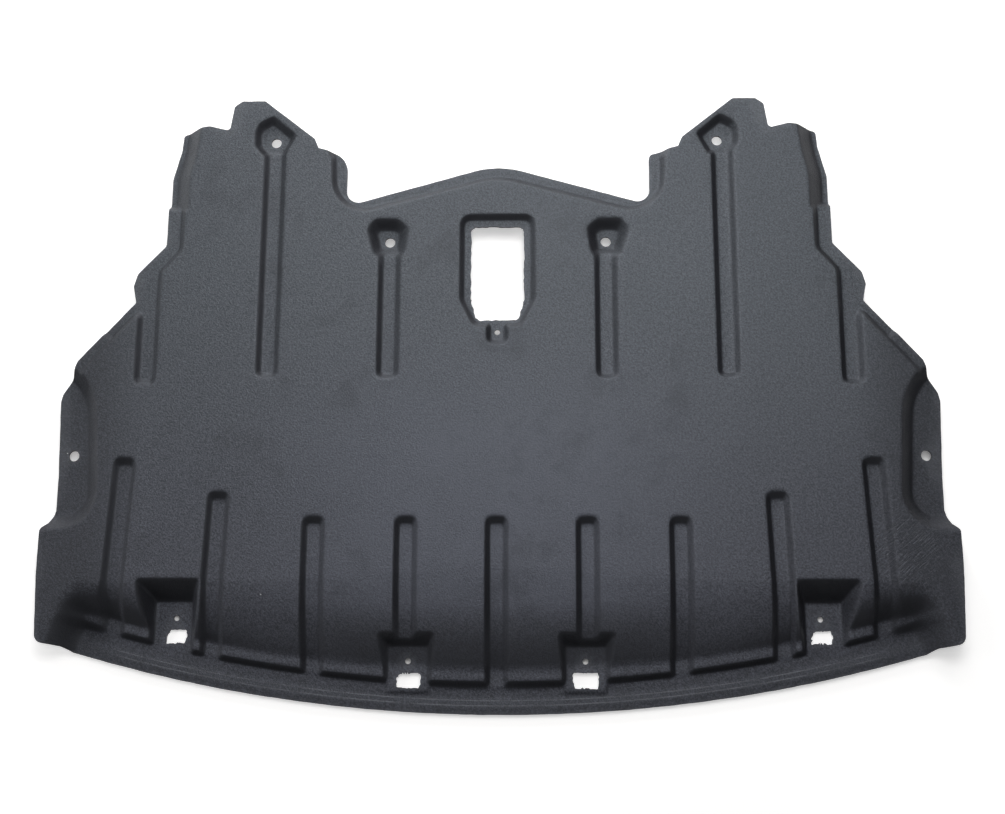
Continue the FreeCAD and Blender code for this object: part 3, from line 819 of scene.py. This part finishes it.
        # Masks of the coats; the sheen, the shade and the highlights among them are painted light and shade
        masks = {
            "panel_sheen": self.panel_sheen(),
            "speckle": self.ramp(self.mottle, *SPECKLE_RANGE),
            "outer_shade": self.times(outer_shade, self.ramp(self.mottle, *OUTER_SHADE_MOTTLE)),
            "smudge": self.ramp(self.noise(self.place, *SMUDGE), *SMUDGE_RANGE),
            "fibres": self.fibres(),
            "scratches": scratches,
            "turned_away_shade": self.turned_away_shade(),
            "shaded_foot": shaded_foot,
            "crease_highlight_behind": self.crease_highlight(CREASES[0]),
            "crease_highlight_ahead": self.crease_highlight(CREASES[1]),
            "hollow_shade": self.ramp(edge, *HOLLOW_SHADE_RANGE),
            "raised_highlight": self.ramp(edge, *RAISED_HIGHLIGHT_RANGE),
            "specks": self.specks(),
        }
        color = self.bare()
        for name, strength, *colors in COATS:
            coat = colors[0] if len(colors) == 1 else self.blend(self.rear, *colors)
            color = self.blend(self.times(masks[name], strength), color, coat)
        surface = self.add("ShaderNodeBsdfPrincipled", {
            "Base Color": color,
            "Roughness": self.roughness(outer_shade, shaded_foot),
            "Specular IOR Level": SPECULAR,
            "Specular Tint": SHEEN,
            "Normal": self.relief(scratches),
        })
        return self.finish(surface.outputs[0])


# Stage: floor, with its glow near the part and far from it, and the faint light all round
WHITE = (1.0, 1.0, 1.0, 1.0)
FLOOR_SIZE = 12.0
FLOOR_COLOUR = (0.95, 0.94, 0.93, 1.0)
FLOOR_GLOW = 0.46
FLOOR_FAR = (0.45, 1.00)
FLOOR_DEPTH = 0.0002
AMBIENT = 0.02

# Shaded floor seen through the round holes: place, and how much of the glow stays there
HOLE_SPOTS = (
    (0.0905, -0.275, 0.0), (-0.0905, -0.275, 0.0), (0.3305, -0.2323, 0.0), (-0.3305, -0.2323, 0.0),
    (0.2424, 0.2915, 0.65), (-0.2485, 0.2915, 0.65), (0.1177, 0.1742, 0.60), (-0.1185, 0.1742, 0.60),
    (0.4502, -0.0626, 0.35), (-0.4509, -0.0626, 0.45), (-0.0006, 0.0720, 0.10),
)
HOLE_SHADE = (0.006, 0.010)

# Lamps: place, size and power in watts
LAMPS = (
    ("overhead", (0.0, 0.0, 2.2), (0.6, 0.6), 6.5),
    ("rear_overhead", (0.05, 0.45, 1.25), (0.6, 0.5), 5.5),
    ("low_overhead", (0.20, 0.45, 0.75), (0.8, 0.5), 2.6),
    ("rear_left", (-0.60, 1.60, 0.60), (0.5, 0.5), 13.0),
    ("rear_right", (0.60, 1.60, 0.60), (0.5, 0.5), 4.7),
    ("left", (-1.60, 0.0, 0.60), (0.6, 0.6), 5.6),
)

# Camera, found from mirrored points of the photograph: focal length and picture width in pixels
FOCAL_PIXELS = 1200.0
PICTURE_WIDTH = 1005.0
SENSOR_WIDTH = 36.0
CAMERA_PLACE = (0.03215, -0.26078, 1.2530)
CAMERA_TURN = (0.197576, 0.020962, 0.002605)


def pale_floor():
    """Pale floor, white to the camera away from the part."""
    shader = Shader(bpy.data.materials.new("floor_pale"))
    path = shader.add("ShaderNodeLightPath").outputs
    seen = shader.larger(path["Is Camera Ray"], path["Is Glossy Ray"])
    place = shader.add("ShaderNodeTexCoord").outputs["Object"]
    for x, y, share in HOLE_SPOTS:
        away = shader.distance(place, (x, y, 0.0))
        seen = shader.times(seen, shader.ramp(away, *HOLE_SHADE, share, 1.0))
    far = shader.add("ShaderNodeVectorMath", {0: place}, operation="LENGTH").outputs["Value"]
    strength = shader.times(seen, shader.ramp(far, *FLOOR_FAR, FLOOR_GLOW, 1.0))
    diffuse = shader.add("ShaderNodeBsdfDiffuse", {"Color": FLOOR_COLOUR})
    glow = shader.add("ShaderNodeEmission", {"Strength": strength})
    both = shader.add("ShaderNodeAddShader", {0: diffuse.outputs[0], 1: glow.outputs[0]})
    return shader.finish(both.outputs[0])


def floor():
    """Wide floor under the part."""
    mesh = bpy.data.meshes.new("floor")
    half = FLOOR_SIZE / 2.0
    corners = [(-half, -half, 0.0), (half, -half, 0.0), (half, half, 0.0), (-half, half, 0.0)]
    mesh.from_pydata(corners, [], [(0, 1, 2, 3)])
    mesh.materials.append(pale_floor())
    ground = bpy.data.objects.new("floor", mesh)
    ground.location.z = low[2] - FLOOR_DEPTH
    bpy.context.scene.collection.objects.link(ground)


def area_light(name, place, size, power):
    """Rectangular lamp that faces the part."""
    lamp = bpy.data.lights.new(name, "AREA")
    lamp.shape = "RECTANGLE"
    lamp.size, lamp.size_y = size
    lamp.energy = power
    holder = bpy.data.objects.new(name, lamp)
    holder.location = place
    holder.rotation_euler = Vector(place).to_track_quat("Z", "Y").to_euler()
    bpy.context.scene.collection.objects.link(holder)


def world_light():
    """Faint even light all round, white where the camera sees it directly."""
    shader = Shader(bpy.data.worlds.new("surroundings"))
    seen = shader.add("ShaderNodeLightPath").outputs["Is Camera Ray"]
    strength = shader.ramp(seen, 0.0, 1.0, AMBIENT, 1.0)
    background = shader.add("ShaderNodeBackground", {"Color": WHITE, "Strength": strength})
    bpy.context.scene.world = shader.finish(background.outputs[0], "ShaderNodeOutputWorld")


def camera():
    """Camera at the photograph's place, looking down on the road side."""
    lens = bpy.data.cameras.new("camera")
    lens.sensor_width = SENSOR_WIDTH
    lens.lens = FOCAL_PIXELS * SENSOR_WIDTH / PICTURE_WIDTH
    holder = bpy.data.objects.new("camera", lens)
    holder.location = CAMERA_PLACE
    holder.rotation_euler = CAMERA_TURN
    bpy.context.scene.collection.objects.link(holder)
    bpy.context.scene.camera = holder


cut_edges = sorted(rim_loops(), key=lambda loop: -np.prod(loop.max(0) - loop.min(0)))
shield = formed_sheet(cut_edges)
shield.data.materials.append(Plastic().material())
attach(shield, "root")
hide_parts("splash_shield")
floor()
for lamp in LAMPS:
    area_light(*lamp)
world_light()
camera()
bpy.context.scene.view_settings.view_transform = "Standard"
